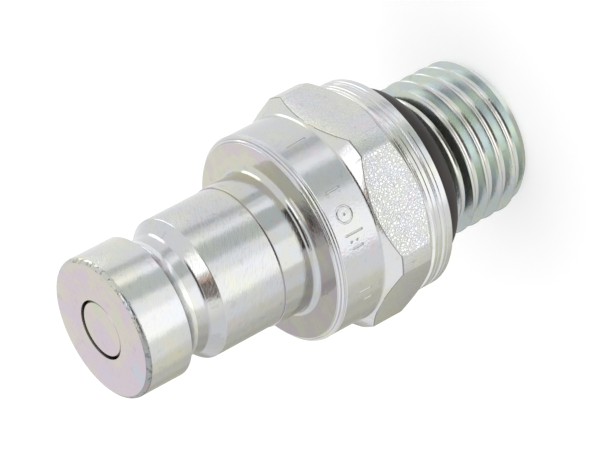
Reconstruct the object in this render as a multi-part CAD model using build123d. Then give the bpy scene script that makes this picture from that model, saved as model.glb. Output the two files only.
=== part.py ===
from build123d import *

import os
from math import asin, atan, cos, degrees, pi, radians, sin

# Diagnostic test coupling, male half, with a straight stud and a flush poppet in its nose.
# It stands on the end face of its stud, centred on Z, with the nose up. All sizes are in mm.

# Stud and undercut
THREAD_D = 13.8
THREAD_LENGTH = 6.84
STUD_LENGTH = 11.14
LEAD_CHAMFER_RADIAL = 0.93
LEAD_CHAMFER_LENGTH = 1.2
UNDERCUT_D = 11.2
UNDERCUT_ROOT = 0.2

# Flange with the fine line round its rim
FLANGE_D = 19.0
FLANGE_THICKNESS = 2.16
FLANGE_EDGE = 0.2
RIM_LINE_DEPTH = 0.15
RIM_LINE_WIDTH = 0.3

# Hexagon, its corners turned round and a cone at each end
HEX_ACROSS_FLATS = 19.0
HEX_CORNER_D = 21.0
HEX_LAND_LENGTH = 3.01
HEX_REAR_CONE_LENGTH = 1.09
HEX_FRONT_CONE_LENGTH = 1.02

# Collar and its shoulder
COLLAR_D = 18.6
COLLAR_LENGTH = 4.63
COLLAR_CHAMFER = 0.4

# Neck, shank, latching groove and head of the nose
NECK_D = 12.7
NECK_LENGTH = 3.32
NECK_ROOT = 0.35
SHANK_D = 12.5
SHANK_LENGTH = 6.0
GROOVE_D = 10.5
GROOVE_LENGTH = 2.56
GROOVE_SWEEP_LENGTH = 1.59
HEAD_LENGTH = 4.44
HEAD_EDGE = 0.22

# Bores from the nose down
NOSE_BORE_D = 5.3
NOSE_BORE_LENGTH = 2.07
CHAMBER_D = 7.4
MOUTH_BORE_D = 8.0
MOUTH_CHAMFER = 0.3
SEAT_CONE_ANGLE = 45

# Snap ring and its groove, deep in the mouth bore where the hexagon makes the wall thick
RING_OFFSET = 12.0
RING_THICKNESS = 0.8
RING_WIDTH = 0.95
RING_GROOVE_DEPTH = 0.25
RING_SIDE_PLAY = 0.1
RING_RADIAL_PLAY = 0.05
RING_GAP_ANGLE = 44
LUG_R = 0.8
LUG_INSET = 0.2
LUG_HOLE_D = 0.8

# Spring seat
SEAT_THICKNESS = 1.2
SEAT_SLEEVE_LENGTH = 1.5
SEAT_BORE_D = 3.2
SEAT_SLOT_COUNT = 4
SEAT_SLOT_R = 0.55
SEAT_RADIAL_PLAY = 0.05
SEAT_STEP_PLAY = 0.05

# Poppet
POPPET_RECESS = 0.1
TIP_CLEARANCE = 0.15
GUIDE_CLEARANCE = 0.08
HEAD_FLANGE_CLEARANCE = 0.5
HEAD_FLANGE_LENGTH = 0.8
WAIST_D = 4.8
WAIST_LENGTH = 1.5
GUIDE_LENGTH = 3.8
FLUTE_COUNT = 4
FLUTE_R = 1.5
FLUTE_DEPTH = 0.92
SPIGOT_LENGTH = 3.0
SPIGOT_CHAMFER = 0.4
TIP_EDGE = 0.12

# Seals
POPPET_SEAL_SECTION_D = 1.0
SEAL_GROOVE_PLAY = 0.03
SEAL_SEAT_GAP = 0.02
SEAL_CONE_OFFSET = 0.4
PORT_SEAL_SECTION_D = 2.4
PORT_SEAL_GAP = 0.03
PORT_SEAL_NECK_GAP = 0.05

# Spring
SPRING_WIRE_D = 0.8
SPRING_TURNS = 7
SPRING_END_TURNS = 0.6
SPRING_CHAMBER_CLEARANCE = 0.55
SPRING_SPIGOT_CLEARANCE = 0.15

# Flats that draw round wire, round seal sections and the groove's sweep, and stations on a turn of wire
WIRE_SIDES = 8
SEAL_SIDES = 12
GROOVE_SWEEP_FLATS = 3
STATIONS_PER_TURN = 12

# Heights above the stud's end face
FLANGE_Z = STUD_LENGTH
HEX_REAR_Z = FLANGE_Z + FLANGE_THICKNESS
HEX_LAND_Z = HEX_REAR_Z + HEX_REAR_CONE_LENGTH
HEX_FRONT_Z = HEX_LAND_Z + HEX_LAND_LENGTH
COLLAR_Z = HEX_FRONT_Z + HEX_FRONT_CONE_LENGTH
SHOULDER_Z = COLLAR_Z + COLLAR_LENGTH
NECK_TOP_Z = SHOULDER_Z + NECK_LENGTH
SHANK_Z = NECK_TOP_Z + (NECK_D - SHANK_D) / 2
GROOVE_CONE_Z = SHANK_Z + SHANK_LENGTH
GROOVE_Z = GROOVE_CONE_Z + (SHANK_D - GROOVE_D) / 2
HEAD_Z = GROOVE_Z + GROOVE_LENGTH
NOSE_Z = HEAD_Z + HEAD_LENGTH

# Radii and heights of the bore
NOSE_BORE_R = NOSE_BORE_D / 2
CHAMBER_R = CHAMBER_D / 2
MOUTH_R = MOUTH_BORE_D / 2
CONE_TOP_Z = NOSE_Z - NOSE_BORE_LENGTH
CONE_SLOPE = sin(radians(SEAT_CONE_ANGLE)) / cos(radians(SEAT_CONE_ANGLE))
CONE_BOTTOM_Z = CONE_TOP_Z - (CHAMBER_R - NOSE_BORE_R) / CONE_SLOPE
RING_GROOVE_TOP_Z = RING_OFFSET + RING_THICKNESS + RING_SIDE_PLAY
SEAT_Z = RING_OFFSET + RING_THICKNESS
SEAT_TOP_Z = SEAT_Z + SEAT_THICKNESS
MOUTH_STEP_Z = SEAT_TOP_Z + SEAT_STEP_PLAY

# Spring coil, running inside the chamber and round the poppet's spigot
WIRE_R = SPRING_WIRE_D / 2
SPRING_OUTER_R = CHAMBER_R - SPRING_CHAMBER_CLEARANCE
COIL_R = SPRING_OUTER_R - WIRE_R
SPIGOT_R = COIL_R - WIRE_R - SPRING_SPIGOT_CLEARANCE

# Poppet seal, pressed to the conical seat just below the nose bore
SEAL_R = POPPET_SEAL_SECTION_D / 2
SEAL_REACH = SEAL_R + SEAL_SEAT_GAP
SEAL_CENTRE_R = NOSE_BORE_R + SEAL_CONE_OFFSET - SEAL_REACH * cos(radians(SEAT_CONE_ANGLE))
SEAL_CENTRE_Z = CONE_TOP_Z - SEAL_CONE_OFFSET / CONE_SLOPE - SEAL_REACH * sin(radians(SEAT_CONE_ANGLE))

# Poppet heights, from its tip down
TIP_R = NOSE_BORE_R - TIP_CLEARANCE
TIP_Z = NOSE_Z - POPPET_RECESS
SEAL_GROOVE_TOP_Z = SEAL_CENTRE_Z + SEAL_R + SEAL_GROOVE_PLAY
SEAL_GROOVE_BOTTOM_Z = SEAL_CENTRE_Z - SEAL_R - SEAL_GROOVE_PLAY
SEAL_GROOVE_R = SEAL_CENTRE_R - SEAL_R - SEAL_GROOVE_PLAY
HEAD_FLANGE_R = CHAMBER_R - HEAD_FLANGE_CLEARANCE
HEAD_FLANGE_Z = SEAL_GROOVE_BOTTOM_Z - HEAD_FLANGE_LENGTH
GUIDE_TOP_Z = HEAD_FLANGE_Z - WAIST_LENGTH
GUIDE_R = CHAMBER_R - GUIDE_CLEARANCE
GUIDE_Z = GUIDE_TOP_Z - GUIDE_LENGTH
SPIGOT_Z = GUIDE_Z - SPIGOT_LENGTH


def turned(points):
    """Turn a closed outline of (radius, height) points about Z."""
    with BuildPart() as piece:
        with BuildSketch(Plane.XZ):
            with BuildLine():
                Polyline(*points, close=True)
            make_face()
        revolve(axis=Axis.Z)
    return piece.part


def o_ring(centre_r, centre_z, section_r):
    """O-ring about Z, its section drawn with flats that face its seats."""
    with BuildPart() as ring:
        with BuildSketch(Plane.XZ):
            with Locations((centre_r, centre_z)):
                RegularPolygon(section_r, SEAL_SIDES, major_radius=False, rotation=180 / SEAL_SIDES)
        revolve(axis=Axis.Z)
    return ring.part


def stud_and_flange():
    """Threaded stud at its outside diameter, undercut, and the flange with its rim line."""
    thread_r = THREAD_D / 2
    undercut_r = UNDERCUT_D / 2
    flange_r = FLANGE_D / 2
    line_z = FLANGE_Z + FLANGE_THICKNESS / 2
    outline = [
        (0, 0),
        (thread_r - LEAD_CHAMFER_RADIAL, 0),
        (thread_r, LEAD_CHAMFER_LENGTH),
        (thread_r, THREAD_LENGTH),
        (undercut_r, THREAD_LENGTH + thread_r - undercut_r),
        (undercut_r, FLANGE_Z - UNDERCUT_ROOT),
        (undercut_r + UNDERCUT_ROOT, FLANGE_Z),
        (flange_r, FLANGE_Z),
        (flange_r, line_z - RIM_LINE_WIDTH / 2),
        (flange_r - RIM_LINE_DEPTH, line_z),
        (flange_r, line_z + RIM_LINE_WIDTH / 2),
        (flange_r, HEX_REAR_Z - FLANGE_EDGE),
        (flange_r - FLANGE_EDGE, HEX_REAR_Z),
        (0, HEX_REAR_Z),
    ]
    return turned(outline)


def hexagon():
    """Turned blank with a cone at each end, milled to six flats."""
    flat_r = HEX_ACROSS_FLATS / 2
    corner_r = HEX_CORNER_D / 2
    blank = turned(
        [
            (0, HEX_REAR_Z),
            (FLANGE_D / 2 - FLANGE_EDGE, HEX_REAR_Z),
            (corner_r, HEX_LAND_Z),
            (corner_r, HEX_FRONT_Z),
            (COLLAR_D / 2, COLLAR_Z),
            (0, COLLAR_Z),
        ]
    )
    with BuildPart() as prism:
        with BuildSketch(Plane.XY.offset(HEX_REAR_Z)):
            RegularPolygon(radius=flat_r, side_count=6, major_radius=False)
        extrude(amount=COLLAR_Z - HEX_REAR_Z)
    return blank & prism.part


def groove_sweep():
    """Points of the latching groove's hollow sweep, from its floor up to the edge of the head."""
    floor_r = GROOVE_D / 2
    angle = 2 * atan((SHANK_D / 2 - floor_r) / GROOVE_SWEEP_LENGTH)
    sweep_r = GROOVE_SWEEP_LENGTH / sin(angle)
    start_z = HEAD_Z - GROOVE_SWEEP_LENGTH
    turns = [angle * flat / GROOVE_SWEEP_FLATS for flat in range(GROOVE_SWEEP_FLATS + 1)]
    return [(floor_r + sweep_r * (1 - cos(turn)), start_z + sweep_r * sin(turn)) for turn in turns]


def collar_and_nose():
    """Collar, neck, shank, latching groove and head, from the hexagon up to the nose face."""
    collar_r = COLLAR_D / 2
    neck_r = NECK_D / 2
    shank_r = SHANK_D / 2
    groove_r = GROOVE_D / 2
    outline = [
        (0, COLLAR_Z),
        (collar_r, COLLAR_Z),
        (collar_r, SHOULDER_Z - COLLAR_CHAMFER),
        (collar_r - COLLAR_CHAMFER, SHOULDER_Z),
        (neck_r + NECK_ROOT, SHOULDER_Z),
        (neck_r, SHOULDER_Z + NECK_ROOT),
        (neck_r, NECK_TOP_Z),
        (shank_r, SHANK_Z),
        (shank_r, GROOVE_CONE_Z),
        (groove_r, GROOVE_Z),
        *groove_sweep(),
        (shank_r, NOSE_Z - HEAD_EDGE),
        (shank_r - HEAD_EDGE, NOSE_Z),
        (0, NOSE_Z),
    ]
    return turned(outline)


def bore():
    """Everything bored out: mouth, snap ring groove, chamber, conical seat and nose bore."""
    groove_r = MOUTH_R + RING_GROOVE_DEPTH
    return turned(
        [
            (0, 0),
            (MOUTH_R + MOUTH_CHAMFER, 0),
            (MOUTH_R, MOUTH_CHAMFER),
            (MOUTH_R, RING_OFFSET),
            (groove_r, RING_OFFSET),
            (groove_r, RING_GROOVE_TOP_Z),
            (MOUTH_R, RING_GROOVE_TOP_Z),
            (MOUTH_R, MOUTH_STEP_Z),
            (CHAMBER_R, MOUTH_STEP_Z),
            (CHAMBER_R, CONE_BOTTOM_Z),
            (NOSE_BORE_R, CONE_TOP_Z),
            (NOSE_BORE_R, NOSE_Z),
            (0, NOSE_Z),
        ]
    )


def body():
    """The whole turned and milled body, hollow from the stud's mouth to the nose."""
    return stud_and_flange() + hexagon() + collar_and_nose() - bore()


def port_seal():
    """O-ring round the undercut, against the flange's sealing face."""
    section_r = PORT_SEAL_SECTION_D / 2
    centre_r = UNDERCUT_D / 2 + PORT_SEAL_NECK_GAP + section_r
    return o_ring(centre_r, FLANGE_Z - PORT_SEAL_GAP - section_r, section_r)


def poppet():
    """Poppet: tip, seal groove, head flange, waist, fluted guide and the spigot in the spring."""
    waist_r = WAIST_D / 2
    stem = turned(
        [
            (0, SPIGOT_Z),
            (SPIGOT_R - SPIGOT_CHAMFER, SPIGOT_Z),
            (SPIGOT_R, SPIGOT_Z + SPIGOT_CHAMFER),
            (SPIGOT_R, GUIDE_Z),
            (GUIDE_R, GUIDE_Z),
            (GUIDE_R, GUIDE_TOP_Z),
            (waist_r, GUIDE_TOP_Z),
            (waist_r, HEAD_FLANGE_Z),
            (HEAD_FLANGE_R, HEAD_FLANGE_Z),
            (HEAD_FLANGE_R, SEAL_GROOVE_BOTTOM_Z),
            (SEAL_GROOVE_R, SEAL_GROOVE_BOTTOM_Z),
            (SEAL_GROOVE_R, SEAL_GROOVE_TOP_Z),
            (TIP_R, SEAL_GROOVE_TOP_Z),
            (TIP_R, TIP_Z - TIP_EDGE),
            (TIP_R - TIP_EDGE, TIP_Z),
            (0, TIP_Z),
        ]
    )
    flute_centre_r = GUIDE_R - FLUTE_DEPTH + FLUTE_R
    with BuildPart() as flutes:
        with BuildSketch(Plane.XY.offset(GUIDE_Z)):
            with PolarLocations(flute_centre_r, FLUTE_COUNT):
                Circle(FLUTE_R)
        extrude(amount=GUIDE_LENGTH)
    return stem - flutes.part


def poppet_seal():
    """O-ring behind the poppet's tip, on the conical seat."""
    return o_ring(SEAL_CENTRE_R, SEAL_CENTRE_Z, SEAL_R)


def valve_spring():
    """Compression spring between the spring seat and the poppet's guide, its end turns laid flat."""
    low_z = SEAT_TOP_Z + WIRE_R
    high_z = GUIDE_Z - WIRE_R
    rising_turns = SPRING_TURNS - 2 * SPRING_END_TURNS
    sections = []
    for station in range(SPRING_TURNS * STATIONS_PER_TURN + 1):
        turn = station / STATIONS_PER_TURN
        risen = min(max(turn - SPRING_END_TURNS, 0), rising_turns) / rising_turns
        angle = 2 * pi * turn
        outward = Vector(cos(angle), sin(angle), 0)
        along = Vector(-sin(angle), cos(angle), 0)
        centre = COIL_R * outward + Vector(0, 0, low_z + risen * (high_z - low_z))
        across = Plane(origin=centre, x_dir=outward, z_dir=along)
        section = RegularPolygon(WIRE_R, WIRE_SIDES, major_radius=False, rotation=180 / WIRE_SIDES)
        sections.append(across * section)
    return loft(sections, ruled=True)


def spring_seat():
    """Flanged sleeve that the spring stands on, with a bore and edge slots for the flow."""
    flange_r = MOUTH_R - SEAT_RADIAL_PLAY
    bore_r = SEAT_BORE_D / 2
    sleeve = turned(
        [
            (bore_r, SEAT_Z),
            (flange_r, SEAT_Z),
            (flange_r, SEAT_TOP_Z),
            (SPIGOT_R, SEAT_TOP_Z),
            (SPIGOT_R, SEAT_TOP_Z + SEAT_SLEEVE_LENGTH),
            (bore_r, SEAT_TOP_Z + SEAT_SLEEVE_LENGTH),
        ]
    )
    with BuildPart() as slots:
        with BuildSketch(Plane.XY.offset(SEAT_Z)):
            with PolarLocations(flange_r, SEAT_SLOT_COUNT):
                Circle(SEAT_SLOT_R)
        extrude(amount=SEAT_THICKNESS)
    return sleeve - slots.part


def retaining_ring():
    """Internal snap ring, open on one side, with a holed lug at each end."""
    outer_r = MOUTH_R + RING_GROOVE_DEPTH - RING_RADIAL_PLAY
    inner_r = outer_r - RING_WIDTH
    lug_centre_r = inner_r - LUG_INSET
    half_gap = radians(RING_GAP_ANGLE / 2)
    gap_x = 2 * outer_r * sin(half_gap)
    gap_y = -2 * outer_r * cos(half_gap)
    lug_angle = RING_GAP_ANGLE / 2 + degrees(asin(LUG_R / lug_centre_r))
    lug_places = PolarLocations(lug_centre_r, 2, start_angle=-90 - lug_angle, angular_range=4 * lug_angle)
    with BuildPart() as ring:
        with BuildSketch(Plane.XY.offset(RING_OFFSET)):
            Circle(outer_r)
            Circle(inner_r, mode=Mode.SUBTRACT)
            with BuildSketch(mode=Mode.SUBTRACT):
                with BuildLine():
                    Polyline((0, 0), (gap_x, gap_y), (-gap_x, gap_y), close=True)
                make_face()
            with lug_places:
                Circle(LUG_R)
            with lug_places:
                Circle(LUG_HOLE_D / 2, mode=Mode.SUBTRACT)
        extrude(amount=RING_THICKNESS)
    return ring.part


PIECES = {
    "body": body,
    "port_seal": port_seal,
    "poppet": poppet,
    "poppet_seal": poppet_seal,
    "valve_spring": valve_spring,
    "spring_seat": spring_seat,
    "retaining_ring": retaining_ring,
}

os.makedirs("parts", exist_ok=True)
for name, make in PIECES.items():
    export_step(make(), os.path.join("parts", name + ".step"))
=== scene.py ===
"""Diagnostic test coupling, standing on the end of its stud: its looks, light and camera. Lengths are in metres."""

from math import asin, cos, pi, radians, sin, tan

import bpy
from mathutils import Matrix, Vector


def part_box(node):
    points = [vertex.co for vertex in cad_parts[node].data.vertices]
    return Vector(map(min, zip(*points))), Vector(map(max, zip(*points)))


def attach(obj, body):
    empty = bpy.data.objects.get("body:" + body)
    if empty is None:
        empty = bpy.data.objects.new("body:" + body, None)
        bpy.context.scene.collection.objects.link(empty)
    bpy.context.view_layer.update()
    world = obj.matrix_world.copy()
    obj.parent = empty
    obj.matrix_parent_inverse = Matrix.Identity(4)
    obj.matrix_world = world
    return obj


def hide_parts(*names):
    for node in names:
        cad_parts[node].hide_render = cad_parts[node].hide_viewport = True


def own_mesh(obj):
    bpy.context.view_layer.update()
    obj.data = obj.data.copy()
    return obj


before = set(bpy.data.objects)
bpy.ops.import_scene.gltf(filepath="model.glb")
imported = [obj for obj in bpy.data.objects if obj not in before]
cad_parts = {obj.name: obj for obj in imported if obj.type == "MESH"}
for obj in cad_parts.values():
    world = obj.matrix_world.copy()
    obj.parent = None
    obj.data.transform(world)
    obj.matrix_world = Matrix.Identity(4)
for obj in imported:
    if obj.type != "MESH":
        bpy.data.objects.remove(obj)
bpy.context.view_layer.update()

# Sizes read from the frame
BODY_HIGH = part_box("body")[1]
NOSE_Z = BODY_HIGH.z
HEX_CORNER_R = BODY_HIGH.x
HEX_FLAT_R = BODY_HIGH.y
PORT_SEAL_LOW, PORT_SEAL_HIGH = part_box("port_seal")
POPPET_SEAL_LOW, POPPET_SEAL_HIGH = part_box("poppet_seal")
SPRING_LOW, SPRING_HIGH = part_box("valve_spring")

# Camera, from the photograph's perspective: azimuth from the front, elevation and roll in degrees
VIEW_AZIMUTH = 11.6
VIEW_ELEVATION = 28.8
VIEW_ROLL = -118.0
VIEW_DISTANCE = 0.332
VIEW_POINT_Z = 0.01993
VIEW_SHIFT_RIGHT = 0.000149
VIEW_SHIFT_UP = -0.000913
LENS_MM = 240
SENSOR_MM = 36
CLIP_START = 0.01

# The side that faces the camera, as an azimuth in degrees from +X towards +Y
CAMERA_SIDE = VIEW_AZIMUTH - 90

# Outside of the body, from the stud up
STUD_END_R = 0.00597
STUD_R = 0.0069
LEAD_Z = 0.0012
THREAD_Z = 0.00684
UNDERCUT_R = 0.0056
FLANGE_Z = 0.01114
FLANGE_R = 0.0095
RIM_LINE_Z = 0.01222
RIM_LINE_DEPTH = 0.00015
RIM_LINE_HALF = 0.00015
HEX_REAR_Z = 0.0133
HEX_REAR_R = 0.0093
HEX_LAND_Z = 0.01439
HEX_FRONT_Z = 0.0174
COLLAR_Z = 0.01842
COLLAR_R = 0.0093
SHOULDER_Z = 0.02305
COLLAR_CHAMFER = 0.0004
NECK_R = 0.00635
NECK_TOP_Z = 0.02637
SHANK_R = 0.00625
SHANK_Z = 0.02647
GROOVE_CONE_Z = 0.03247
GROOVE_R = 0.00525
GROOVE_Z = 0.03347
HEAD_Z = 0.03603
GROOVE_SWEEP = 0.00159
NOSE_EDGE = 0.00042

# Bore, from the nose down
NOSE_BORE_R = 0.00265
CONE_TOP_Z = 0.0384
CHAMBER_R = 0.0037
CONE_BOTTOM_Z = 0.03735
MOUTH_STEP_Z = 0.01405
MOUTH_R = 0.004
RING_GROOVE_TOP_Z = 0.0129
RING_GROOVE_Z = 0.012
RING_GROOVE_R = 0.00425
MOUTH_CHAMFER = 0.0003

# Radius of the poppet's face; beyond it the plating is painted darker, a painted shade on its edge
POPPET_FACE_R = 0.00241

# Thread: right-handed, a groove of it centred at THREAD_GROOVE_Z on the camera's side, and cut from turns below that
PITCH = 0.0015
THREAD_ROOT_R = 0.00608
THREAD_ROOT_ROUND = 0.00012
THREAD_GROOVE_Z = 0.00292
THREAD_TURNS = 7
THREAD_TURNS_BELOW = 3
THREAD_STEPS = 120
FLANK_ANGLE = 30
CREST_BREAK = 0.00004
CUTTER_OVERHANG = 0.00012

# Steps round a turned surface and up the groove's sweep
TURNED_STEPS = 240
SWEEP_STEPS = 10

# Largest step round a fillet, and the sharpest edge shaded smooth on turned and on round pieces, in degrees
FILLET_STEP = 15
SHARP_ANGLE = 17
ROUND_SHARP_ANGLE = 40

# Most of an edge that the fillet at each of its ends may use up, and the distance within which points are one
FILLET_REACH = 0.45
SAME_POINT = 1e-7

# Fine lines left by the turning tool round the collar's front edge, and the fillets at their lips and root
FINE_LINE_HALF = 0.00006
FINE_LINE_DEPTH = 0.00007
FINE_LINE_LIP = 0.00002
FINE_LINE_ROOT = 0.00001

# The line turned in where the shank starts, and the shallow lines on the flange
NECK_LINE_DEPTH = 0.00005
FLANGE_LINES = (0.01178, 0.01276)
FLANGE_LINE_DEPTH = 0.000035

# Broken edges round the hexagon's flats, which are the only faces there with more corners than this
HEX_EDGE_BREAK = 0.0001
FLAT_CORNERS = 20

# Struck marks on the collar: (degrees from the camera's side, z, length, turn in degrees), turn 0 along Z, the
# degrees clockwise seen from above. A mark no longer than its stroke is wide is a dot.
STRUCK_MARKS = [
    (-40, 0.02045, 0.0021, 4),
    (-7.5, 0.0207, 0.0015, 2),
    (6, 0.0208, 0.00024, 0),
    (16.5, 0.0206, 0.0019, 0),
    (20.5, 0.0211, 0.00024, 0),
    (20.5, 0.0205, 0.00024, 0),
    (24, 0.0206, 0.0012, 0),
    (51, 0.0204, 0.0013, 0),
    (58, 0.0200, 0.0010, 0),
]
STRUCK_RING_ANGLE = 6
STRUCK_RING_Z = 0.0208
STRUCK_RING_R = 0.00072
STROKE_R = 0.00011

# Nicks left by handling: (degrees from the camera's side, radius, z)
NICKS = [(6, 0.00946, 0.01832), (42, 0.01052, 0.0163), (-63, 0.01052, 0.0158)]

# Patch of rougher plating round the struck marks: its middle, in degrees from the camera's side, and its radius
STRUCK_PATCH_ANGLE = 14
STRUCK_PATCH_R = 0.0025

# Spring of round wire
SPRING_WIRE_R = 0.0004
SPRING_TURNS = 7
SPRING_END_TURNS = 0.6
SPRING_STEPS = 48

# Fineness of the plating's textures, in repeats for each metre, and the height of its orange peel
PATCH_SCALE = 330
STAIN_SCALE = 1500
RUB_SCALE = 6000
SPARKLE_SCALE = 4600
PEBBLE_SCALE = 4000
PEEL_SCALE = 1300
LINE_SCALE = 14000
THREAD_LINE_SCALE = 700
PEEL_HEIGHT = 0.00001

# How far a turned line's texture drifts round the part
LINE_WANDER = 0.00035

# Pits in the plating: (repeats for each metre, depth, how many, brightness inside)
FINE_PITS = (1100, 0.000004, 0.26, 0.92)
NOSE_BRUISES = (2600, 0.00004, 0.34, 0.66)

# Plating tints: (share of the texture, colour)
SILVER_TINTS = [
    (0.33, (0.64, 0.62, 0.54)),
    (0.42, (0.60, 0.62, 0.58)),
    (0.50, (0.60, 0.60, 0.60)),
    (0.58, (0.58, 0.60, 0.63)),
    (0.67, (0.64, 0.59, 0.61)),
]
FACE_TINTS = [
    (0.33, (0.57, 0.61, 0.49)),
    (0.42, (0.64, 0.59, 0.53)),
    (0.50, (0.62, 0.55, 0.58)),
    (0.58, (0.62, 0.54, 0.62)),
    (0.66, (0.55, 0.58, 0.64)),
]
SHOULDER_TINTS = [
    (0.34, (0.58, 0.62, 0.49)),
    (0.43, (0.63, 0.61, 0.52)),
    (0.50, (0.60, 0.57, 0.53)),
    (0.57, (0.61, 0.54, 0.58)),
    (0.66, (0.54, 0.56, 0.61)),
]
NECK_TINTS = [
    (0.33, (0.50, 0.48, 0.40)),
    (0.42, (0.46, 0.47, 0.42)),
    (0.50, (0.46, 0.46, 0.45)),
    (0.58, (0.44, 0.47, 0.49)),
    (0.67, (0.50, 0.45, 0.46)),
]
CREST_TINTS = [
    (0.35, (0.60, 0.62, 0.57)),
    (0.45, (0.65, 0.62, 0.57)),
    (0.55, (0.66, 0.63, 0.60)),
    (0.65, (0.60, 0.61, 0.62)),
]
FLANK_TINTS = [
    (0.33, (0.54, 0.61, 0.59)),
    (0.42, (0.58, 0.63, 0.54)),
    (0.50, (0.55, 0.61, 0.58)),
    (0.58, (0.53, 0.58, 0.61)),
    (0.67, (0.62, 0.60, 0.57)),
]

# Painted shade across the part, darker where less light falls: (distance across the part, share), on a ramp of this
# slope
ACROSS_RAMP = 50
NECK_PAINTED_SHADE = [(-0.0056, 1.0), (-0.0030, 0.95), (0.0, 0.9), (0.0030, 0.89)]
SHOULDER_PAINTED_SHADE = [(0.004, 1.0), (0.0062, 0.63)]
GROOVE_PAINTED_SHADE = [(0.0025, 1.0), (0.0036, 0.8)]
NOSE_RIM_PAINTED_SHADE = [(0.001, 1.0), (0.0025, 0.62)]
THREAD_PAINTED_SHADE = [
    (-0.0052, 0.78),
    (-0.0030, 0.83),
    (-0.0020, 0.98),
    (0.0012, 1.0),
    (0.0024, 0.88),
    (0.0042, 0.75),
    (0.0060, 0.60),
]

# How the plating's rub marks lean round the body, and how the thread winds, in radians for each metre of height
RUB_WIND = 280
THREAD_WIND = -2 * pi / PITCH

# The body's finishes, as places in its list of materials, and the margin round the edges between them
TURNED, FACED, MILLED, FLANK, CREST, BORE, NECK, COLLAR = range(8)
SHOULDER, SWEEP, HEAD, SHANK, GROOVE, NOSE_RIM, BROKEN = range(8, 15)
NEAR = 0.0001

# Light: the world's share on dull surfaces, and the floor's size, grey and own brightness to the camera
WORLD_LIGHT = 0.85
FLOOR_SIZE = 6.0
FLOOR_GREY = 0.7
FLOOR_GLOW = 0.45

# Soft oblong lamps aimed at the coupling's middle: (name, azimuth, elevation, distance, width, height, watts)
SOFTBOXES = [
    ("key", -48.5, 60.5, 0.5, 0.243, 0.15, 0.12),
    ("fill", -165, 48, 0.8, 0.8, 0.8, 0.3),
    ("rim", 30, -3, 0.6, 0.42, 0.3, 0.46),
]

# Cards hung round the coupling: (name, azimuth, elevation, distance, width, height, colour)
HUNG_CARDS = [
    ("camera_side_low", -81, 27, 0.3, 0.369, 0.189, (0.10, 0.09, 0.08)),
    ("camera_side_high", -106, 55.5, 0.3, 0.15, 0.058, (0.16, 0.11, 0.08)),
    ("camera_side_copper", -85, 55, 0.29, 0.03, 0.03, (0.75, 0.38, 0.21)),
]

# Wide round card low in the studio, and its sectors: (name, first azimuth, last azimuth, colour)
LOW_CARD_R = 8
LOW_CARD_Z = -1
LOW_CARDS = [
    ("card_bright", -128, -88, (1.5, 1.5, 1.5)),
    ("card_half_bright", -88, -67, (1.22, 1.22, 1.22)),
    ("card_dark", -64, -35, (0.70, 0.74, 0.72)),
    ("card_thin_bright", -34.5, -23, (1.3, 1.3, 1.3)),
    ("card_thin_dark", -13, -1.5, (0.66, 0.67, 0.67)),
    ("card_warm", -187, -162, (0.86, 0.84, 0.75)),
    ("card_far_side", -215, -187, (0.68, 0.67, 0.60)),
    ("card_behind", -262, -215, (0.54, 0.53, 0.47)),
]


def on_cylinder(radius, azimuth, z):
    """Point at a radius and height, its azimuth in degrees from +X towards +Y."""
    return Vector((radius * cos(radians(azimuth)), radius * sin(radians(azimuth)), z))


def to_object_mode():
    """Leave edit mode with nothing selected."""
    if bpy.context.mode != "OBJECT":
        bpy.ops.object.mode_set(mode="OBJECT")
    bpy.ops.object.select_all(action="DESELECT")


def only(piece):
    """Make a piece the only selected object and the active one."""
    to_object_mode()
    piece.select_set(True)
    bpy.context.view_layer.objects.active = piece


def edit_all(piece):
    """Enter edit mode on a piece with all of its mesh selected."""
    only(piece)
    bpy.ops.object.mode_set(mode="EDIT")
    bpy.ops.mesh.select_all(action="SELECT")


def select_faces(piece, wanted):
    """Select the faces that pass the test, and leave the piece in edit mode."""
    edit_all(piece)
    bpy.ops.mesh.select_all(action="DESELECT")
    bpy.ops.object.mode_set(mode="OBJECT")
    for face in piece.data.polygons:
        face.select = wanted(face)
    bpy.ops.object.mode_set(mode="EDIT")


def applied(piece, modifier):
    """Apply a modifier to its piece."""
    only(piece)
    bpy.ops.object.modifier_apply(modifier=modifier.name)


def smoothed(piece, angle=SHARP_ANGLE):
    """Shade smooth, keeping edges sharper than the angle crisp."""
    only(piece)
    bpy.ops.object.shade_smooth_by_angle(angle=radians(angle))


def rounded(corners):
    """Outline points from (radius, z, fillet) corners of a closed outline, each fillet as a short arc."""
    points = []
    for index, (r, z, fillet) in enumerate(corners):
        corner = Vector((r, z))
        back = Vector(corners[index - 1][:2]) - corner
        ahead = Vector(corners[(index + 1) % len(corners)][:2]) - corner
        turn = pi - back.angle(ahead)
        if not fillet or turn < radians(1):
            points.append(corner)
            continue
        reach = min(fillet * tan(turn / 2), FILLET_REACH * back.length, FILLET_REACH * ahead.length)
        fillet = reach / tan(turn / 2)
        middle = (back.normalized() + ahead.normalized()).normalized()
        centre = corner + middle * fillet / cos(turn / 2)
        start = corner + back.normalized() * reach - centre
        finish = corner + ahead.normalized() * reach - centre
        steps = max(2, round(turn / radians(FILLET_STEP)))
        for step in range(steps + 1):
            share = step / steps
            spoke = (start * sin((1 - share) * turn) + finish * sin(share * turn)) / sin(turn)
            points.append(centre + spoke)
    return points


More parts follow.
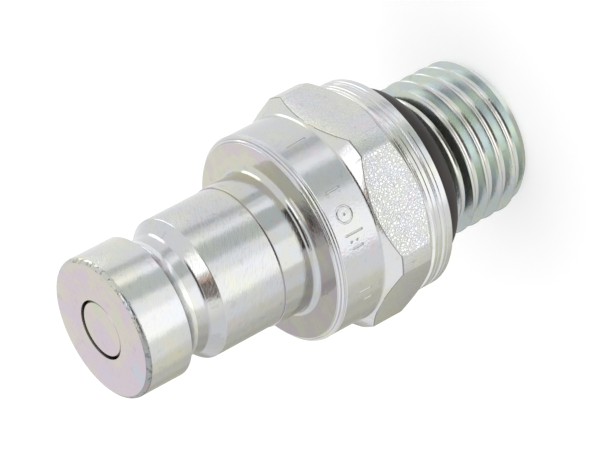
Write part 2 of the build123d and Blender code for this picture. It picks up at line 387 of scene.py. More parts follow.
def drawn_outline(name, points):
    """Draw a closed line through (radius, z) points in the XZ plane, by extruding a single vertex."""
    to_object_mode()
    bpy.ops.mesh.primitive_plane_add(size=FLANGE_R, location=(0, 0, 0))
    piece = bpy.context.object
    piece.name = name
    bpy.ops.object.mode_set(mode="EDIT")
    bpy.ops.mesh.select_all(action="SELECT")
    bpy.ops.mesh.merge(type="CENTER")
    bpy.ops.transform.translate(value=(points[0][0], 0, points[0][1]))
    for (r, z), (next_r, next_z) in zip(points, points[1:] + points[:1]):
        bpy.ops.mesh.extrude_vertices_move(TRANSFORM_OT_translate={"value": (next_r - r, 0, next_z - z)})
    bpy.ops.mesh.select_all(action="SELECT")
    bpy.ops.mesh.remove_doubles(threshold=SAME_POINT)
    return piece


def spun(name, corners):
    """Turn a closed outline of (radius, z, fillet) corners about Z."""
    piece = drawn_outline(name, [tuple(point) for point in rounded(corners)])
    bpy.ops.mesh.spin(steps=TURNED_STEPS, angle=2 * pi, center=(0, 0, 0), axis=(0, 0, 1))
    bpy.ops.mesh.select_all(action="SELECT")
    bpy.ops.mesh.remove_doubles(threshold=SAME_POINT)
    bpy.ops.mesh.normals_make_consistent(inside=False)
    to_object_mode()
    return piece


def carve(piece, cutter):
    """Cut a closed cutter out of a piece and delete the cutter."""
    modifier = piece.modifiers.new("carve", "BOOLEAN")
    modifier.operation = "DIFFERENCE"
    modifier.solver = "EXACT"
    modifier.object = cutter
    applied(piece, modifier)
    bpy.data.objects.remove(cutter, do_unlink=True)


def groove_sweep():
    """Outline corners of the arc that sweeps the groove's floor up to the head's edge."""
    depth = SHANK_R - GROOVE_R
    arc_r = (GROOVE_SWEEP**2 + depth**2) / (2 * depth)
    turn = asin(GROOVE_SWEEP / arc_r)
    start_z = HEAD_Z - GROOVE_SWEEP
    shares = [step / SWEEP_STEPS * turn for step in range(SWEEP_STEPS)]
    return [(GROOVE_R + arc_r * (1 - cos(a)), start_z + arc_r * sin(a), 0) for a in shares]


def fine_line(r, z, lean, depth=FINE_LINE_DEPTH):
    """Corners of a fine turned line in a surface whose outward direction leans up by an angle in degrees."""
    out = Vector((cos(radians(lean)), sin(radians(lean))))
    along = Vector((-out.y, out.x)) * FINE_LINE_HALF
    middle = Vector((r, z))
    low, root, high = middle - along, middle - out * depth, middle + along
    return [(*low, FINE_LINE_LIP), (*root, FINE_LINE_ROOT), (*high, FINE_LINE_LIP)]


def body_blank():
    """Body turned from bar: its outside and its bore in one outline."""
    return spun(
        "coupling_body",
        [
            (STUD_END_R, 0, 0.00008),
            (STUD_R, LEAD_Z, 0.0001),
            (STUD_R, THREAD_Z, 0.00005),
            (UNDERCUT_R, THREAD_Z + STUD_R - UNDERCUT_R, 0.0004),
            (UNDERCUT_R, FLANGE_Z, 0.0003),
            (FLANGE_R, FLANGE_Z, 0.00015),
            *fine_line(FLANGE_R, FLANGE_LINES[0], 0, FLANGE_LINE_DEPTH),
            (FLANGE_R, RIM_LINE_Z - RIM_LINE_HALF, 0.00006),
            (FLANGE_R - RIM_LINE_DEPTH, RIM_LINE_Z, 0.00003),
            (FLANGE_R, RIM_LINE_Z + RIM_LINE_HALF, 0.00006),
            *fine_line(FLANGE_R, FLANGE_LINES[1], 0, FLANGE_LINE_DEPTH),
            (FLANGE_R, HEX_REAR_Z - FLANGE_R + HEX_REAR_R, 0.00008),
            (HEX_REAR_R, HEX_REAR_Z, 0.00008),
            (HEX_CORNER_R, HEX_LAND_Z, 0.00015),
            (HEX_CORNER_R, HEX_FRONT_Z, 0.00015),
            (COLLAR_R, COLLAR_Z, 0.0004),
            *fine_line(COLLAR_R, SHOULDER_Z - 1.6 * COLLAR_CHAMFER, 0),
            *fine_line(COLLAR_R, SHOULDER_Z - COLLAR_CHAMFER, 22),
            *fine_line(COLLAR_R - COLLAR_CHAMFER / 2, SHOULDER_Z - COLLAR_CHAMFER / 2, 45),
            *fine_line(COLLAR_R - COLLAR_CHAMFER, SHOULDER_Z, 68),
            (NECK_R, SHOULDER_Z, 0.0006),
            (NECK_R, NECK_TOP_Z, 0.00003),
            (SHANK_R - NECK_LINE_DEPTH, NECK_TOP_Z, 0),
            (SHANK_R - NECK_LINE_DEPTH, SHANK_Z - NECK_LINE_DEPTH, 0),
            (SHANK_R, SHANK_Z, 0.00003),
            (SHANK_R, GROOVE_CONE_Z, 0.00015),
            (GROOVE_R, GROOVE_Z, 0.0005),
            *groove_sweep(),
            (SHANK_R, HEAD_Z, 0.00006),
            (SHANK_R, NOSE_Z, NOSE_EDGE),
            (NOSE_BORE_R, NOSE_Z, 0),
            (NOSE_BORE_R, CONE_TOP_Z, 0),
            (CHAMBER_R, CONE_BOTTOM_Z, 0),
            (CHAMBER_R, MOUTH_STEP_Z, 0),
            (MOUTH_R, MOUTH_STEP_Z, 0),
            (MOUTH_R, RING_GROOVE_TOP_Z, 0),
            (RING_GROOVE_R, RING_GROOVE_TOP_Z, 0),
            (RING_GROOVE_R, RING_GROOVE_Z, 0),
            (MOUTH_R, RING_GROOVE_Z, 0),
            (MOUTH_R, MOUTH_CHAMFER, 0.00005),
            (MOUTH_R + MOUTH_CHAMFER, 0, 0.00005),
        ],
    )


def mill_flats(piece):
    """Mill the hexagon's six flats, two of them square to Y, each with a block that clears its own flat alone."""
    thick = 2 * (HEX_CORNER_R - HEX_FLAT_R)
    for azimuth in range(30, 390, 60):
        place = on_cylinder(HEX_FLAT_R + thick / 2, azimuth, (HEX_REAR_Z + COLLAR_Z) / 2)
        to_object_mode()
        bpy.ops.mesh.primitive_cube_add(size=1, location=place, rotation=(0, 0, radians(azimuth)))
        block = bpy.context.object
        block.scale = (thick, HEX_FLAT_R, COLLAR_Z - HEX_REAR_Z)
        carve(piece, block)


def break_hex_edges(piece):
    """Break the edges round the hexagon's flats."""
    select_faces(piece, lambda face: len(face.vertices) > FLAT_CORNERS and HEX_REAR_Z < face.center.z < COLLAR_Z)
    bpy.ops.mesh.select_mode(type="FACE")
    bpy.ops.mesh.region_to_loop()
    bpy.ops.mesh.bevel(offset=HEX_EDGE_BREAK, segments=2, affect="EDGES", clamp_overlap=True)
    bpy.ops.mesh.select_mode(type="VERT")
    to_object_mode()


def cut_thread(piece):
    """Cut the stud's thread with a screw-shaped cutter that runs out into the undercut."""
    crest = PITCH / 8
    slope = tan(radians(FLANK_ANGLE))
    mouth_half = (PITCH - crest) / 2
    root_half = mouth_half - (STUD_R - THREAD_ROOT_R) * slope
    half_outline = [
        (STUD_R + CUTTER_OVERHANG, mouth_half + CREST_BREAK * 1.6),
        (STUD_R, mouth_half + CREST_BREAK * 1.2),
        (STUD_R - 1.5 * CREST_BREAK, mouth_half - 1.5 * CREST_BREAK * slope),
        (THREAD_ROOT_R + THREAD_ROOT_ROUND, root_half + THREAD_ROOT_ROUND * slope),
        (THREAD_ROOT_R + THREAD_ROOT_ROUND / 4, root_half * 0.75),
        (THREAD_ROOT_R, root_half * 0.35),
    ]
    outline = half_outline + [(r, -z) for r, z in reversed(half_outline)]
    start_z = THREAD_GROOVE_Z - THREAD_TURNS_BELOW * PITCH - PITCH * CAMERA_SIDE / 360
    cutter = drawn_outline("thread_cutter", [(r, z + start_z) for r, z in outline])
    to_object_mode()
    screw = cutter.modifiers.new("screw", "SCREW")
    screw.axis = "Z"
    screw.angle = 2 * pi
    screw.screw_offset = PITCH
    screw.iterations = THREAD_TURNS
    screw.steps = THREAD_STEPS
    screw.render_steps = THREAD_STEPS
    screw.use_smooth_shade = False
    applied(cutter, screw)
    edit_all(cutter)
    bpy.ops.mesh.remove_doubles(threshold=SAME_POINT)
    bpy.ops.mesh.select_all(action="DESELECT")
    bpy.ops.mesh.select_mode(type="EDGE")
    bpy.ops.mesh.select_non_manifold()
    bpy.ops.mesh.fill_holes(sides=0)
    bpy.ops.mesh.select_mode(type="VERT")
    bpy.ops.mesh.select_all(action="SELECT")
    bpy.ops.mesh.normals_make_consistent(inside=False)
    to_object_mode()
    carve(piece, cutter)


def strike_marks(piece):
    """Strike a plain ring, strokes and dots into the collar, and a few nicks into the hexagon's edges."""
    azimuth = CAMERA_SIDE - STRUCK_RING_ANGLE
    to_object_mode()
    bpy.ops.mesh.primitive_torus_add(
        location=on_cylinder(COLLAR_R, azimuth, STRUCK_RING_Z),
        rotation=(0, pi / 2, radians(azimuth)),
        major_radius=STRUCK_RING_R,
        minor_radius=STROKE_R,
        major_segments=40,
        minor_segments=10,
    )
    cutters = [bpy.context.object]
    marks = [(angle, COLLAR_R, z, length, turn) for angle, z, length, turn in STRUCK_MARKS]
    marks += [(angle, radius, z, 2 * STROKE_R, 0) for angle, radius, z in NICKS]
    for angle, radius, z, length, turn in marks:
        azimuth = CAMERA_SIDE - angle
        to_object_mode()
        bpy.ops.mesh.primitive_uv_sphere_add(segments=12, ring_count=12, radius=STROKE_R, location=(0, 0, 0))
        stroke = bpy.context.object
        for side in (1, -1):
            select_faces(stroke, lambda face: face.center.z * side > 0)
            bpy.ops.transform.translate(value=(0, 0, side * max(length / 2 - STROKE_R, 0)))
        to_object_mode()
        lean = Matrix.Rotation(radians(turn), 4, on_cylinder(1, azimuth, 0))
        stroke.matrix_world = Matrix.Translation(on_cylinder(radius, azimuth, z)) @ lean
        cutters.append(stroke)
    to_object_mode()
    for cutter in cutters:
        cutter.select_set(True)
    bpy.context.view_layer.objects.active = cutters[0]
    bpy.ops.object.join()
    carve(piece, cutters[0])


def node(tree, kind, **settings):
    """Add a shader node and set its properties and, where a name is an input, that input's value."""
    made = tree.nodes.new("ShaderNode" + kind)
    for name, value in settings.items():
        if hasattr(made, name):
            setattr(made, name, value)
        else:
            made.inputs[name.replace("_", " ")].default_value = value
    return made


def fed(tree, made, inputs):
    """Link or set a node's inputs, given as {index or name: socket or value}, and return the node."""
    for name, value in inputs.items():
        if isinstance(value, bpy.types.NodeSocket):
            tree.links.new(value, made.inputs[name])
        else:
            made.inputs[name].default_value = value
    return made


def math(tree, operation, *values):
    """Output of a math node on sockets or numbers."""
    return fed(tree, node(tree, "Math", operation=operation), dict(enumerate(values))).outputs[0]


def vector_math(tree, operation, *values):
    """Vector math node on sockets or vectors."""
    return fed(tree, node(tree, "VectorMath", operation=operation), dict(enumerate(values)))


def linear(tree, value, slope, start):
    """A socket's value times a slope, from a start."""
    return math(tree, "ADD", math(tree, "MULTIPLY", value, slope), start)


def multiplied(tree, factor, colour, shade):
    """A colour multiplied by a shade, as fully as the factor says."""
    made = node(tree, "Mix", data_type="RGBA", blend_type="MULTIPLY")
    return fed(tree, made, {0: factor, 6: colour, 7: shade}).outputs[2]


def ramp(tree, factor, stops):
    """Colour output of a ramp over (position, colour) stops, a number standing for a grey."""
    made = node(tree, "ValToRGB")
    elements = made.color_ramp.elements
    while len(elements) < len(stops):
        elements.new(0.5)
    for element, (position, colour) in zip(elements, stops):
        element.position = position
        element.color = (*colour, 1) if isinstance(colour, tuple) else (colour, colour, colour, 1)
    return fed(tree, made, {"Fac": factor}).outputs["Color"]


def noise(tree, vector, scale, detail=2.0, roughness=0.5):
    """Value output of a noise texture on a vector."""
    made = node(tree, "TexNoise", Scale=scale, Detail=detail, Roughness=roughness)
    return fed(tree, made, {"Vector": vector}).outputs["Fac"]


def bump(tree, height, distance, below=None):
    """Normal output of a bump of a height in metres, over an optional bump below it."""
    made = node(tree, "Bump", Strength=1.0, Distance=distance)
    tree.links.new(height, made.inputs["Height"])
    if below is not None:
        tree.links.new(below, made.inputs["Normal"])
    return made.outputs["Normal"]


def new_material(name):
    """New node material with a Principled shader, as (material, tree, shader)."""
    material = bpy.data.materials.new(name)
    material.use_nodes = True
    tree = material.node_tree
    return material, tree, tree.nodes["Principled BSDF"]


def turned_coordinates(tree):
    """Object coordinates, radius, height, and a vector that stays almost constant along each turned line."""
    place = node(tree, "TexCoord").outputs["Object"]
    flat = vector_math(tree, "MULTIPLY", place, (1, 1, 0)).outputs[0]
    radius = vector_math(tree, "LENGTH", flat).outputs["Value"]
    spoke = vector_math(tree, "NORMALIZE", flat).outputs[0]
    height = fed(tree, node(tree, "SeparateXYZ"), {0: place}).outputs["Z"]
    lift = fed(tree, node(tree, "CombineXYZ"), {"Z": math(tree, "ADD", radius, height)}).outputs[0]
    line = vector_math(tree, "MULTIPLY_ADD", spoke, (LINE_WANDER, LINE_WANDER, 0), lift).outputs[0]
    return place, radius, height, line


def wound_coordinates(tree, place, height, wind, shorten):
    """Object coordinates wound about Z by an angle for each metre of height, and shortened along Z."""
    wound = node(tree, "VectorRotate", rotation_type="Z_AXIS")
    fed(tree, wound, {"Vector": place, "Angle": math(tree, "MULTIPLY", height, wind)})
    return vector_math(tree, "MULTIPLY", wound.outputs[0], (1, 1, shorten)).outputs[0]


def brighter(tints, share):
    """The same tints, brighter by a share."""
    return [(place, tuple(part * share for part in tint)) for place, tint in tints]


def across_part(tree, place):
    """Distance across the part from its axis, positive on the side that is lower in the picture."""
    return vector_math(tree, "DOT_PRODUCT", place, on_cylinder(1, CAMERA_SIDE - 90, 0)).outputs["Value"]


def cells(tree, vector, scale):
    """Distance from the edges of small uneven cells, 0 at an edge."""
    wander = fed(tree, node(tree, "TexNoise", Scale=scale * 0.9, Detail=2.0), {"Vector": vector}).outputs["Color"]
    moved = vector_math(tree, "MULTIPLY_ADD", wander, (1.9 / scale,) * 3, vector).outputs[0]
    made = node(tree, "TexVoronoi", feature="DISTANCE_TO_EDGE", Scale=scale)
    return fed(tree, made, {"Vector": moved}).outputs["Distance"]


def front_flats(tree, place, radius):
    """1 on the hexagon's two flats square to Y, and a quarter on the others and the rounded corners."""
    side = vector_math(tree, "DOT_PRODUCT", place, (0, 1, 0)).outputs["Value"]
    share = math(tree, "ABSOLUTE", math(tree, "DIVIDE", side, radius))
    return ramp(tree, share, [(0.893, 0.25), (0.906, 1)])


def zinc(
    name,
    tints,
    roughness=0.17,
    lines=0.0000012,
    rub=0.000007,
    grain=0.0,
    threaded=False,
    struck=0.0,
    painted_shade=(),
    pits=FINE_PITS,
    strokes=0.1,
    painted_shade_r=None,
):
    """Bright zinc plating on steel: soft tints, turning lines, rub marks, pebble grain, pits and a struck patch.

    Lines, rub, grain and struck are the heights of those marks, and strokes is how far rub marks darken the
    plating. The shade stops are painted shade across the part, and they and the pits have the form of the
    constants above. Beyond the edge radius the plating is painted darker, a painted shade on that edge.
    """
    material, tree, shader = new_material(name)
    place, radius, height, line = turned_coordinates(tree)
    if threaded:
        line = wound_coordinates(tree, place, height, THREAD_WIND, 0)
    fine = THREAD_LINE_SCALE if threaded else LINE_SCALE

    patches = noise(tree, place, PATCH_SCALE, detail=3, roughness=0.55)
    bands = noise(tree, line, fine / 15, detail=2)
    tint = math(tree, "ADD", math(tree, "MULTIPLY", patches, 0.75), math(tree, "MULTIPLY", bands, 0.25))
    colour = ramp(tree, tint, tints)
    stain = ramp(tree, noise(tree, place, STAIN_SCALE, detail=4, roughness=0.7), [(0.30, 0.80), (0.42, 1)])
    colour = multiplied(tree, 0.35, colour, stain)
    rubbed = noise(tree, wound_coordinates(tree, place, height, RUB_WIND, 0.45), RUB_SCALE, detail=2)
    colour = multiplied(tree, strokes, colour, ramp(tree, rubbed, [(0.36, 0.78), (0.5, 1)]))
    if grain:
        front = front_flats(tree, place, radius)
        pebble = cells(tree, place, PEBBLE_SCALE)
        shade = ramp(tree, pebble, [(0.0, 0.77), (0.19, 1.25)])
        colour = multiplied(tree, math(tree, "MULTIPLY", front, 0.9), colour, shade)
    # Painted shade: the plating darker beyond the edge radius
    if painted_shade_r:
        edge = ramp(tree, math(tree, "MULTIPLY", radius, 0.5 / painted_shade_r), [(0.49, 1), (0.5, 0.45)])
        colour = multiplied(tree, 1.0, colour, edge)
    # Painted shade across the part: the colour scaled by the shade stops
    if painted_shade:
        stops = [(0.5 + across * ACROSS_RAMP, share) for across, share in painted_shade]
        position = linear(tree, across_part(tree, place), ACROSS_RAMP, 0.5)
        colour = multiplied(tree, 1.0, colour, ramp(tree, position, stops))
    pit_scale, pit_depth, pit_share, pit_shade = pits
    pitted = ramp(tree, noise(tree, place, pit_scale, detail=1), [(pit_share, 0), (pit_share + 0.07, 1)])
    colour = multiplied(tree, 1.0, colour, ramp(tree, pitted, [(0.0, pit_shade), (1.0, 1)]))

    normal = bump(tree, noise(tree, line, fine, detail=3, roughness=0.6), lines)
    normal = bump(tree, rubbed, rub, normal)
    normal = bump(tree, noise(tree, place, PEEL_SCALE, detail=1), PEEL_HEIGHT, normal)
    normal = bump(tree, pitted, pit_depth, normal)
    if grain:
        dome = math(tree, "SUBTRACT", ramp(tree, pebble, [(0.0, 0), (0.24, 1)]), 0.5)
        normal = bump(tree, math(tree, "MULTIPLY", dome, front), grain, normal)
    if struck:
        middle = on_cylinder(COLLAR_R, CAMERA_SIDE - STRUCK_PATCH_ANGLE, STRUCK_RING_Z)
        away = vector_math(tree, "DISTANCE", place, middle).outputs["Value"]
        patch = ramp(tree, math(tree, "MULTIPLY", away, 0.5 / STRUCK_PATCH_R), [(0.44, 1), (0.6, 0)])
        sparkle = noise(tree, place, SPARKLE_SCALE, detail=1, roughness=0.5)
        normal = bump(tree, math(tree, "MULTIPLY", patch, sparkle), struck, normal)

    uneven = linear(tree, math(tree, "SUBTRACT", rubbed, 0.5), 0.15, roughness)
    fed(tree, shader, {"Base Color": colour, "Normal": normal, "Roughness": uneven, "Metallic": 1.0})
    return material


def dark_bore():
    """Thin, dull plating down inside the bore, wet with a trace of oil."""
    material, tree, shader = new_material("zinc_bore")
    place, _, _, line = turned_coordinates(tree)
    film = noise(tree, place, 700, detail=4, roughness=0.65)
    finish = {
        "Base Color": ramp(tree, film, [(0.3, (0.30, 0.28, 0.24)), (0.6, (0.44, 0.43, 0.40))]),
        "Normal": bump(tree, noise(tree, line, 9000, detail=3), 0.000002),
        "Roughness": linear(tree, film, 0.3, 0.22),
        "Metallic": 1.0,
    }
    fed(tree, shader, finish)
    return material


def seal_rubber(name):
    """Satin black-brown rubber with a fine bloom and moulding grain."""
    material, tree, shader = new_material(name)
    place, _, _, line = turned_coordinates(tree)
    bloom = noise(tree, place, 800, detail=4, roughness=0.6)
    grain = bump(tree, noise(tree, place, 12000, detail=3, roughness=0.6), 0.0000015)
    finish = {
        "Base Color": ramp(tree, bloom, [(0.3, (0.013, 0.010, 0.009)), (0.7, (0.040, 0.028, 0.026))]),
        "Normal": bump(tree, noise(tree, line, 3500, detail=2), 0.000004, grain),
        "Roughness": linear(tree, bloom, 0.25, 0.33),
        "Specular IOR Level": 0.55,
    }
    fed(tree, shader, finish)
    return material


def spring_wire():
    """Bright drawn spring wire with faint draw marks and straw-coloured patches."""
    material, tree, shader = new_material("spring_wire")
    place, _, _, line = turned_coordinates(tree)
    patches = noise(tree, place, 900, detail=3)
    finish = {
        "Base Color": ramp(tree, patches, [(0.35, (0.50, 0.49, 0.46)), (0.6, (0.62, 0.61, 0.59))]),
        "Normal": bump(tree, noise(tree, line, 12000, detail=2), 0.000002),
        "Roughness": linear(tree, patches, 0.2, 0.18),
        "Metallic": 1.0,
    }
    fed(tree, shader, finish)
    return material


def phosphated_steel():
    """Dark phosphate coat on the retaining ring, with a fine crystal grain."""
    material, tree, shader = new_material("phosphated_steel")
    crystals = noise(tree, node(tree, "TexCoord").outputs["Object"], 16000, detail=3, roughness=0.7)
    finish = {
        "Base Color": ramp(tree, crystals, [(0.35, (0.045, 0.042, 0.040)), (0.7, (0.11, 0.105, 0.10))]),
        "Normal": bump(tree, crystals, 0.000003),
        "Roughness": linear(tree, crystals, 0.3, 0.3),
        "Metallic": 0.7,
    }
    fed(tree, shader, finish)
    return material


def paint_faces(piece, materials, choose=lambda centre, normal: 0):
    """Give a piece its materials, each face the one whose index choose returns from its centre and normal."""
    piece.data.materials.clear()
    for material in materials:
        piece.data.materials.append(material)
    for face in piece.data.polygons:
        face.material_index = choose(face.center, face.normal)


def body_finish(centre, normal):
    """Index of the body's finish at a face."""
    radius = Vector(centre[:2]).length
    if radius < MOUTH_R + MOUTH_CHAMFER + NEAR and NEAR < centre.z < NOSE_Z - NEAR / 2:
        return BORE
    if NEAR / 2 < centre.z < THREAD_Z + STUD_R - UNDERCUT_R:
        return FLANK if abs(normal.z) > 0.5 else CREST
    # The hexagon: its broken edges lean less than the cone in front of them, and its flats and corners stand upright
    if HEX_FRONT_Z - 0.001 < centre.z < COLLAR_Z - 2 * NEAR and 0.03 < normal.z < 0.74:
        return BROKEN
    if HEX_REAR_Z < centre.z < COLLAR_Z and radius > HEX_REAR_R + NEAR / 2 and abs(normal.z) < 0.3:
        return MILLED
    # Faces square to the axis
    if abs(normal.z) > 0.98:
        return SHOULDER if SHOULDER_Z - NEAR < centre.z < SHOULDER_Z + NEAR else FACED
    if centre.z < FLANGE_Z:
        return NECK
    if COLLAR_Z < centre.z < SHOULDER_Z - 2 * COLLAR_CHAMFER:
        return COLLAR
    if SHOULDER_Z < centre.z < NECK_TOP_Z:
        return NECK
    # The corner behind the hexagon, and the sweep from the groove up to the head
    if HEX_REAR_Z - 0.0003 < centre.z < HEX_REAR_Z + NEAR and abs(normal.z) > 0.2:
        return SWEEP
    if GROOVE_Z < centre.z < HEAD_Z and normal.z < -0.12:
        return SWEEP
    if centre.z > HEAD_Z:
        return HEAD if centre.z < NOSE_Z - NOSE_EDGE else NOSE_RIM
    if centre.z > GROOVE_CONE_Z:
        return GROOVE
    return SHANK if centre.z > NECK_TOP_Z else TURNED


def coupling_body():
    """The whole body: turned, milled, threaded and struck."""
    piece = body_blank()
    mill_flats(piece)
    break_hex_edges(piece)
    cut_thread(piece)
    strike_marks(piece)
    materials = [
        zinc("zinc_turned", brighter(SILVER_TINTS, 1.06)),
        zinc("zinc_faced", FACE_TINTS, roughness=0.2, rub=0.000003),
        zinc("zinc_milled", brighter(SILVER_TINTS, 1.04), roughness=0.22, lines=0.0, grain=0.000016),
        zinc(
            "zinc_flank",
            brighter(FLANK_TINTS, 1.25),
            roughness=0.22,
            lines=0.000001,
            threaded=True,
            painted_shade=THREAD_PAINTED_SHADE,
        ),
        zinc(
            "zinc_crest",
            brighter(CREST_TINTS, 1.25),
            roughness=0.2,
            lines=0.000002,
            threaded=True,
            painted_shade=THREAD_PAINTED_SHADE,
        ),
        dark_bore(),
        zinc("zinc_neck", brighter(NECK_TINTS, 1.29), roughness=0.125, rub=0.000004, painted_shade=NECK_PAINTED_SHADE),
        zinc("zinc_collar", SILVER_TINTS, struck=0.00003),
        zinc("zinc_shoulder", SHOULDER_TINTS, roughness=0.08, rub=0.000001, painted_shade=SHOULDER_PAINTED_SHADE),
        # Brighter copy of the plating in the corner behind the hexagon and on the groove's sweep: painted light in
        # these hollows
        zinc("zinc_sweep_painted_light", brighter(SILVER_TINTS, 1.25)),
        zinc("zinc_head", brighter(SILVER_TINTS, 1.09), strokes=0.2),
        zinc("zinc_shank", brighter(SILVER_TINTS, 1.02), roughness=0.19, rub=0.00001, strokes=0.38),
        zinc("zinc_groove", SILVER_TINTS, painted_shade=GROOVE_PAINTED_SHADE),
        zinc(
            "zinc_nose_rim",
            brighter(NECK_TINTS, 1.2),
            roughness=0.24,
            painted_shade=NOSE_RIM_PAINTED_SHADE,
            pits=NOSE_BRUISES,
        ),
        # Darker copy of the plating on the hexagon's broken edges: a painted dark line, painted shade
        zinc("zinc_broken_edge_painted_shade", brighter(NECK_TINTS, 0.65), roughness=0.25),
    ]
    paint_faces(piece, materials, body_finish)
    smoothed(piece)
    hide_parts("body")
    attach(piece, "housing")


def o_ring(name, low, high, node_name, body, slot):
    """O-ring with a round section, filling the box of the CAD ring it replaces."""
    section_r = (high.z - low.z) / 2
    to_object_mode()
    bpy.ops.mesh.primitive_torus_add(
        location=(0, 0, 0),
        major_radius=high.x - section_r,
        minor_radius=section_r,
        major_segments=160,
        minor_segments=36,
    )
    piece = bpy.context.object
    piece.name = name
    bpy.ops.object.mode_set(mode="EDIT")
    bpy.ops.transform.translate(value=(0, 0, low.z + section_r))
    to_object_mode()
    paint_faces(piece, [seal_rubber(slot)])
    smoothed(piece, ROUND_SHARP_ANGLE)
    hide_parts(node_name)
    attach(piece, body)


def valve_spring():
    """Spring of round wire between its seat and the poppet, its end turns laid flat."""
    coil_r = SPRING_HIGH.x - SPRING_WIRE_R
    low_z = SPRING_LOW.z + SPRING_WIRE_R
    high_z = SPRING_HIGH.z - SPRING_WIRE_R
    rising_turns = SPRING_TURNS - 2 * SPRING_END_TURNS
    to_object_mode()
    bpy.ops.mesh.primitive_circle_add(vertices=16, radius=SPRING_WIRE_R, fill_type="NGON", location=(0, 0, 0))
    piece = bpy.context.object
    piece.name = "valve_spring_wire"
    bpy.ops.object.mode_set(mode="EDIT")
    bpy.ops.mesh.select_all(action="SELECT")
    bpy.ops.transform.rotate(value=pi / 2, orient_axis="X", center_override=(0, 0, 0))
    bpy.ops.transform.translate(value=(coil_r, 0, low_z))
    step = 1 / SPRING_STEPS
    for station in range(SPRING_TURNS * SPRING_STEPS):
        turns = [station * step, (station + 1) * step]
        risen = [min(max(t - SPRING_END_TURNS, 0), rising_turns) / rising_turns for t in turns]
        rise = (risen[1] - risen[0]) * (high_z - low_z)
        bpy.ops.mesh.extrude_region_move(TRANSFORM_OT_translate={"value": (0, 0, rise)})
        bpy.ops.transform.rotate(value=-2 * pi * step, orient_axis="Z", center_override=(0, 0, 0))
    bpy.ops.mesh.select_all(action="SELECT")
    bpy.ops.mesh.normals_make_consistent(inside=False)
    to_object_mode()
    paint_faces(piece, [spring_wire()])
    smoothed(piece, ROUND_SHARP_ANGLE)
    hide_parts("valve_spring")
    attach(piece, "housing")
    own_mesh(piece)


def dress_node(name, material):
    """Give a CAD node its finished material."""
    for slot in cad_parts[name].material_slots:
        slot.material = material


def backdrop_rays(tree):
    """1 for camera, mirror and glass rays, which see the white studio, and 0 for the rest."""
    path = node(tree, "LightPath")
    seen = math(tree, "MAXIMUM", path.outputs["Is Camera Ray"], path.outputs["Is Glossy Ray"])
    return math(tree, "MAXIMUM", seen, path.outputs["Is Transmission Ray"])


def white_world():
    """White surroundings, dimmer where they only light dull surfaces."""
    world = bpy.data.worlds.new("studio")
    bpy.context.scene.world = world
    world.use_nodes = True
    tree = world.node_tree
    background = tree.nodes["Background"]
    background.inputs["Color"].default_value = (1, 1, 1, 1)
    fed(tree, background, {"Strength": linear(tree, backdrop_rays(tree), 1 - WORLD_LIGHT, WORLD_LIGHT)})


def matt_material(name, grey, glow):
    """Matt grey material that can also glow in a colour, as (material, tree, shader)."""
    material, tree, shader = new_material(name)
    finish = {
        "Base Color": (grey, grey, grey, 1),
        "Roughness": 1.0,
        "Specular IOR Level": 0,
        "Emission Color": (*glow, 1),
    }
    fed(tree, shader, finish)
    return material, tree, shader


def white_floor():
    """Plain white floor that keeps the coupling's soft shadow."""
    to_object_mode()
    bpy.ops.mesh.primitive_plane_add(size=FLOOR_SIZE, location=(0, 0, 0))
    floor = bpy.context.object
    floor.name = "floor"
    material, tree, shader = matt_material("floor_white", FLOOR_GREY, (1, 1, 1))
    fed(tree, shader, {"Emission Strength": math(tree, "MULTIPLY", backdrop_rays(tree), FLOOR_GLOW)})
    floor.data.materials.append(material)
    floor.visible_glossy = False


def finish_card(made, name, colour):
    """Make a studio card of an even brightness that only reflections see."""
    made.name = name
    material, tree, shader = matt_material(name, 0, colour)
    fed(tree, shader, {"Emission Strength": 1.0})
    made.data.materials.append(material)
    made.visible_camera = False
    made.visible_diffuse = False
    made.visible_transmission = False
    made.visible_shadow = False


def hung(azimuth, elevation, distance):
    """Location and rotation of a card or lamp that hangs round the coupling and faces its middle."""
    towards = on_cylinder(cos(radians(elevation)), azimuth, sin(radians(elevation)))
    middle = Vector((0, 0, NOSE_Z / 2))
    return {"location": towards * distance + middle, "rotation": towards.to_track_quat("Z", "Y").to_euler()}


def hung_card(name, azimuth, elevation, distance, width, height, colour):
    """Card hung round the coupling and facing it."""
    to_object_mode()
    bpy.ops.mesh.primitive_plane_add(size=1, **hung(azimuth, elevation, distance))
    made = bpy.context.object
    made.scale = (width, height, 1)
    finish_card(made, name, colour)


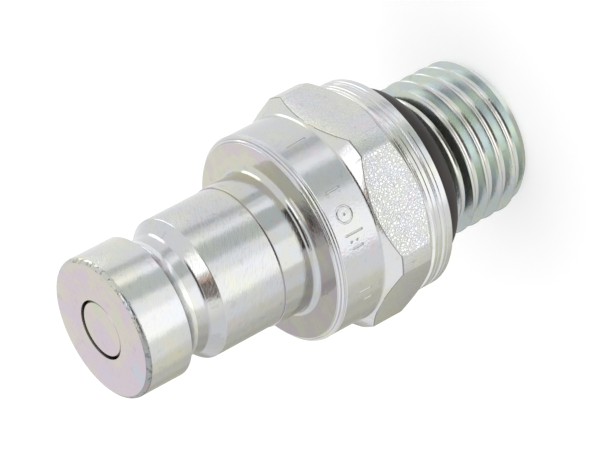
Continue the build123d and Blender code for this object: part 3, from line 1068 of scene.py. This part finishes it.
def low_card(name, first, last, colour):
    """Sector of a wide card low round the studio, between two azimuths in degrees."""
    to_object_mode()
    bpy.ops.mesh.primitive_circle_add(vertices=180, radius=LOW_CARD_R, fill_type="NGON", location=(0, 0, LOW_CARD_Z))
    made = bpy.context.object
    bpy.ops.object.mode_set(mode="EDIT")
    for azimuth, side in ((first, 1), (last, -1)):
        bpy.ops.mesh.select_all(action="SELECT")
        across = on_cylinder(side, azimuth - 90, 0)
        bpy.ops.mesh.bisect(plane_co=(0, 0, 0), plane_no=across, clear_outer=True)
    to_object_mode()
    finish_card(made, name, colour)


def softbox(name, azimuth, elevation, distance, width, height, watts):
    """Soft oblong lamp aimed at the coupling's middle."""
    bpy.ops.object.light_add(type="AREA", **hung(azimuth, elevation, distance))
    lamp = bpy.context.object
    lamp.name = name
    lamp.data.shape = "RECTANGLE"
    lamp.data.size = width
    lamp.data.size_y = height
    lamp.data.energy = watts


def camera():
    """Camera at the photograph's angle and distance."""
    azimuth = radians(VIEW_AZIMUTH)
    elevation = radians(VIEW_ELEVATION)
    roll = radians(VIEW_ROLL)
    towards = Vector((sin(azimuth) * cos(elevation), -cos(azimuth) * cos(elevation), sin(elevation)))
    level = Vector((cos(azimuth), sin(azimuth), 0))
    right = level * cos(roll) + towards.cross(level) * sin(roll)
    up = towards.cross(right)
    aim = Vector((0, 0, VIEW_POINT_Z)) + right * VIEW_SHIFT_RIGHT + up * VIEW_SHIFT_UP
    data = bpy.data.cameras.new("camera")
    data.lens = LENS_MM
    data.sensor_width = SENSOR_MM
    data.clip_start = CLIP_START
    made = bpy.data.objects.new("camera", data)
    bpy.context.collection.objects.link(made)
    turn = Matrix((right, up, towards)).transposed().to_4x4()
    made.matrix_world = Matrix.Translation(aim + towards * VIEW_DISTANCE) @ turn
    bpy.context.scene.camera = made


to_object_mode()
coupling_body()
o_ring("port_o_ring", PORT_SEAL_LOW, PORT_SEAL_HIGH, "port_seal", "housing", "seal_rubber")
o_ring("poppet_o_ring", POPPET_SEAL_LOW, POPPET_SEAL_HIGH, "poppet_seal", "valve", "inner_rubber")
valve_spring()
# The poppet's plating, painted darker round its edge as painted shade
poppet_zinc = zinc("zinc_poppet", FACE_TINTS, roughness=0.2, rub=0.000003, painted_shade_r=POPPET_FACE_R)
dress_node("poppet", poppet_zinc)
dress_node("spring_seat", poppet_zinc)
dress_node("retaining_ring", phosphated_steel())

white_world()
white_floor()
for lamp in SOFTBOXES:
    softbox(*lamp)
for card in HUNG_CARDS:
    hung_card(*card)
for card in LOW_CARDS:
    low_card(*card)
camera()
bpy.context.scene.view_settings.view_transform = "Standard"
